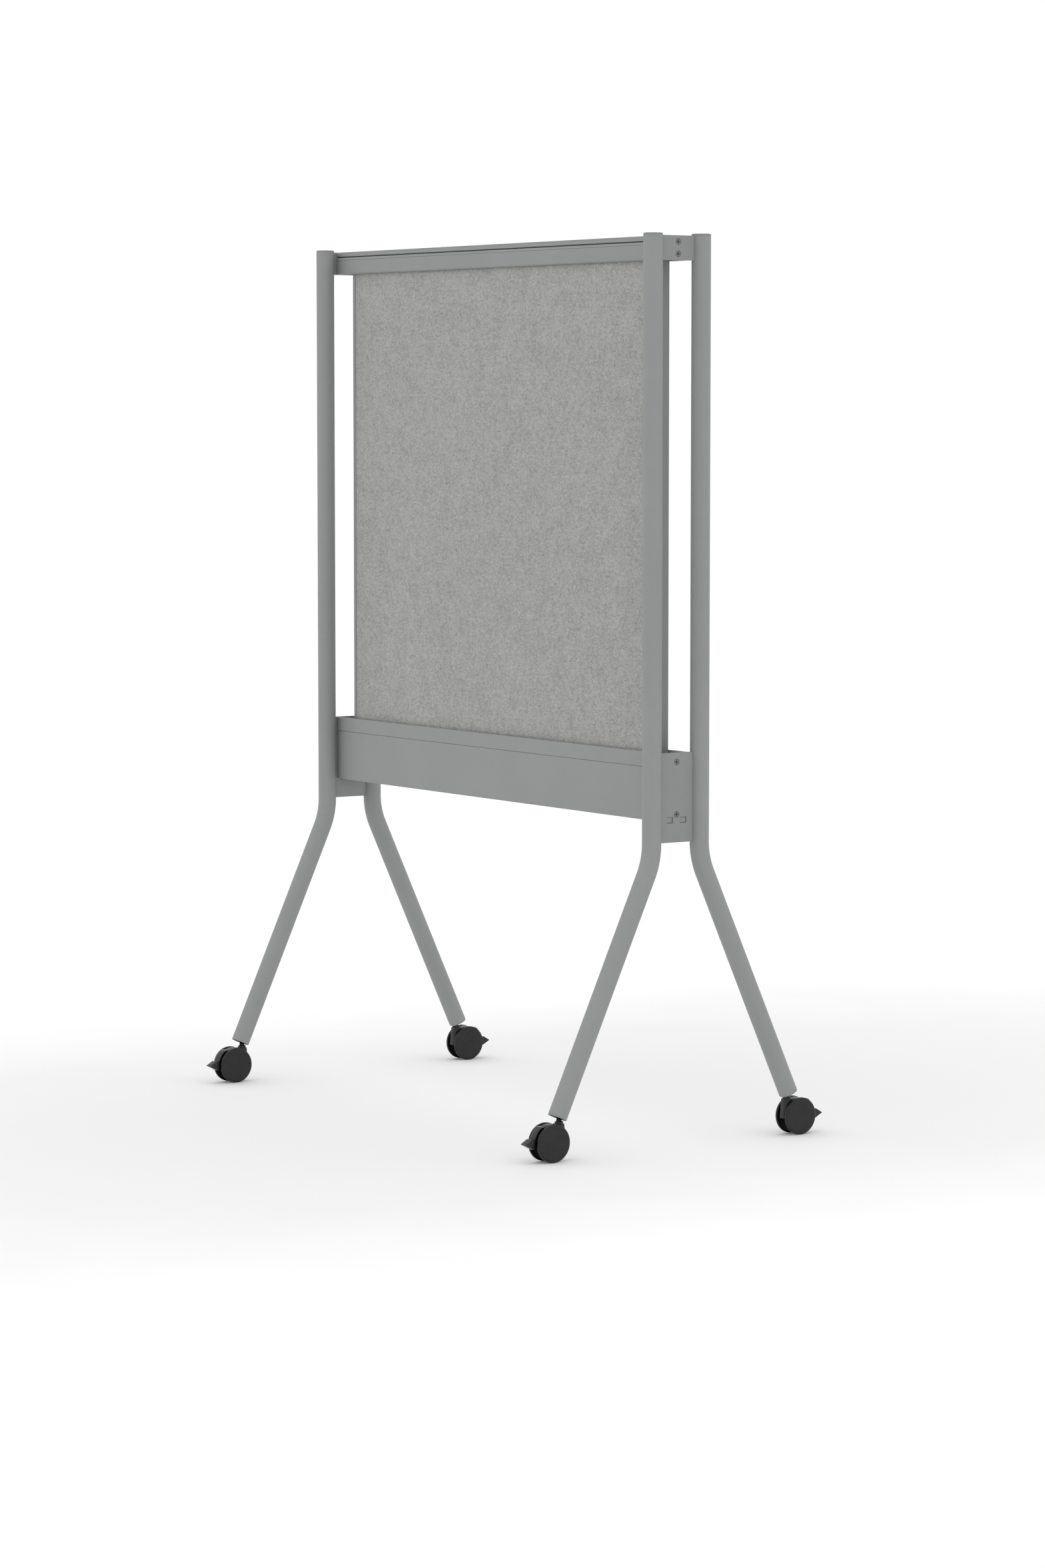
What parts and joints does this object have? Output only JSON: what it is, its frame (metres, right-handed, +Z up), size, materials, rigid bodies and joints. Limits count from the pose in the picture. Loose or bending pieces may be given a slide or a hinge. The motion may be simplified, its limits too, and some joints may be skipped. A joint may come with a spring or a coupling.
{
  "type": "mobile partition wall",
  "caption": "Free-standing partition with a fabric-faced panel between bent-tube posts, a top hanging rail, a bottom trough and splayed legs on braked twin-wheel casters.",
  "frame": {"origin": "on the floor under the middle of the partition", "axes": "X along the width, -Y towards the front, +Z up"},
  "size_m": [1.254, 0.7176, 1.788],
  "materials": {
    "frame_paint": "fine-textured powder coat, mid grey",
    "cap_plastic": "satin moulded plastic, mid grey",
    "screw_paint": "painted screw head",
    "panel_trim": "powder coat, mid grey",
    "felt": "mottled warm grey felt",
    "board": "honeycomb-cored board, hidden",
    "black_plastic": "matt black",
    "caster_plastic": "finely textured black moulding",
    "wheel_plastic": "finely textured black moulding",
    "steel": "zinc plated",
    "dark_steel": "black oxide"
  },
  "bodies": {
    "frame": {"post_front_left": "frame_paint", "post_front_right": "frame_paint", "post_rear_left": "frame_paint", "post_rear_right": "frame_paint", "post_caps": "cap_plastic", "upper_plate_left": "frame_paint", "upper_plate_right": "frame_paint", "lower_plate_left": "frame_paint", "lower_plate_right": "frame_paint", "top_rail": "frame_paint", "frame_screws": "screw_paint", "trough_channel": "frame_paint", "trough_edge_front": "frame_paint", "trough_edge_rear": "frame_paint", "trough_end_left": "frame_paint", "trough_end_right": "frame_paint", "panel_core": "board", "panel_fabric_front": "felt", "panel_fabric_rear": "felt", "panel_trim_left": "panel_trim", "panel_trim_right": "panel_trim", "panel_trim_top": "panel_trim", "panel_trim_bottom": "panel_trim", "panel_saddles": "black_plastic", "saddle_screws": "steel", "leg_plugs": "black_plastic", "caster_stems": "dark_steel", "stem_rings": "steel"},
    "fl_caster": {"fl_housing": "caster_plastic", "fl_axle": "steel", "fl_pedal_pin": "steel"},
    "fl_wheel_left_body": {"fl_wheel_left": "wheel_plastic"},
    "fl_wheel_right_body": {"fl_wheel_right": "wheel_plastic"},
    "fl_pedal_body": {"fl_pedal": "caster_plastic"},
    "fr_caster": {"fr_housing": "caster_plastic", "fr_axle": "steel", "fr_pedal_pin": "steel"},
    "fr_wheel_left_body": {"fr_wheel_left": "wheel_plastic"},
    "fr_wheel_right_body": {"fr_wheel_right": "wheel_plastic"},
    "fr_pedal_body": {"fr_pedal": "caster_plastic"},
    "rl_caster": {"rl_housing": "caster_plastic", "rl_axle": "steel", "rl_pedal_pin": "steel"},
    "rl_wheel_left_body": {"rl_wheel_left": "wheel_plastic"},
    "rl_wheel_right_body": {"rl_wheel_right": "wheel_plastic"},
    "rl_pedal_body": {"rl_pedal": "caster_plastic"},
    "rr_caster": {"rr_housing": "caster_plastic", "rr_axle": "steel", "rr_pedal_pin": "steel"},
    "rr_wheel_left_body": {"rr_wheel_left": "wheel_plastic"},
    "rr_wheel_right_body": {"rr_wheel_right": "wheel_plastic"},
    "rr_pedal_body": {"rr_pedal": "caster_plastic"}
  },
  "joints": [
    {"name": "fl_swivel", "type": "hinge", "parent": "frame", "child": "fl_caster", "pos_m": [-0.608, -0.276, 0.0375], "axis": [0, 0, 1], "continuous": true},
    {"name": "fl_wheel_left_spin", "type": "hinge", "parent": "fl_caster", "child": "fl_wheel_left_body", "pos_m": [-0.608, -0.299, 0.0375], "axis": [1, 0, 0], "continuous": true},
    {"name": "fl_wheel_right_spin", "type": "hinge", "parent": "fl_caster", "child": "fl_wheel_right_body", "pos_m": [-0.608, -0.299, 0.0375], "axis": [1, 0, 0], "continuous": true},
    {"name": "fl_pedal_tilt", "type": "hinge", "parent": "fl_caster", "child": "fl_pedal_body", "pos_m": [-0.608, -0.326, 0.0405], "axis": [1, 0, 0], "range_deg": [0, 18]},
    {"name": "fr_swivel", "type": "hinge", "parent": "frame", "child": "fr_caster", "pos_m": [0.608, -0.276, 0.0375], "axis": [0, 0, 1], "continuous": true},
    {"name": "fr_wheel_left_spin", "type": "hinge", "parent": "fr_caster", "child": "fr_wheel_left_body", "pos_m": [0.608, -0.299, 0.0375], "axis": [1, 0, 0], "continuous": true},
    {"name": "fr_wheel_right_spin", "type": "hinge", "parent": "fr_caster", "child": "fr_wheel_right_body", "pos_m": [0.608, -0.299, 0.0375], "axis": [1, 0, 0], "continuous": true},
    {"name": "fr_pedal_tilt", "type": "hinge", "parent": "fr_caster", "child": "fr_pedal_body", "pos_m": [0.608, -0.326, 0.0405], "axis": [1, 0, 0], "range_deg": [0, 18]},
    {"name": "rl_swivel", "type": "hinge", "parent": "frame", "child": "rl_caster", "pos_m": [-0.608, 0.276, 0.0375], "axis": [0, 0, 1], "continuous": true},
    {"name": "rl_wheel_left_spin", "type": "hinge", "parent": "rl_caster", "child": "rl_wheel_left_body", "pos_m": [-0.608, 0.299, 0.0375], "axis": [1, 0, 0], "continuous": true},
    {"name": "rl_wheel_right_spin", "type": "hinge", "parent": "rl_caster", "child": "rl_wheel_right_body", "pos_m": [-0.608, 0.299, 0.0375], "axis": [1, 0, 0], "continuous": true},
    {"name": "rl_pedal_tilt", "type": "hinge", "parent": "rl_caster", "child": "rl_pedal_body", "pos_m": [-0.608, 0.326, 0.0405], "axis": [-1, 0, 0], "range_deg": [0, 18]},
    {"name": "rr_swivel", "type": "hinge", "parent": "frame", "child": "rr_caster", "pos_m": [0.608, 0.276, 0.0375], "axis": [0, 0, 1], "continuous": true},
    {"name": "rr_wheel_left_spin", "type": "hinge", "parent": "rr_caster", "child": "rr_wheel_left_body", "pos_m": [0.608, 0.299, 0.0375], "axis": [1, 0, 0], "continuous": true},
    {"name": "rr_wheel_right_spin", "type": "hinge", "parent": "rr_caster", "child": "rr_wheel_right_body", "pos_m": [0.608, 0.299, 0.0375], "axis": [1, 0, 0], "continuous": true},
    {"name": "rr_pedal_tilt", "type": "hinge", "parent": "rr_caster", "child": "rr_pedal_body", "pos_m": [0.608, 0.326, 0.0405], "axis": [-1, 0, 0], "range_deg": [0, 18]}
  ]
}
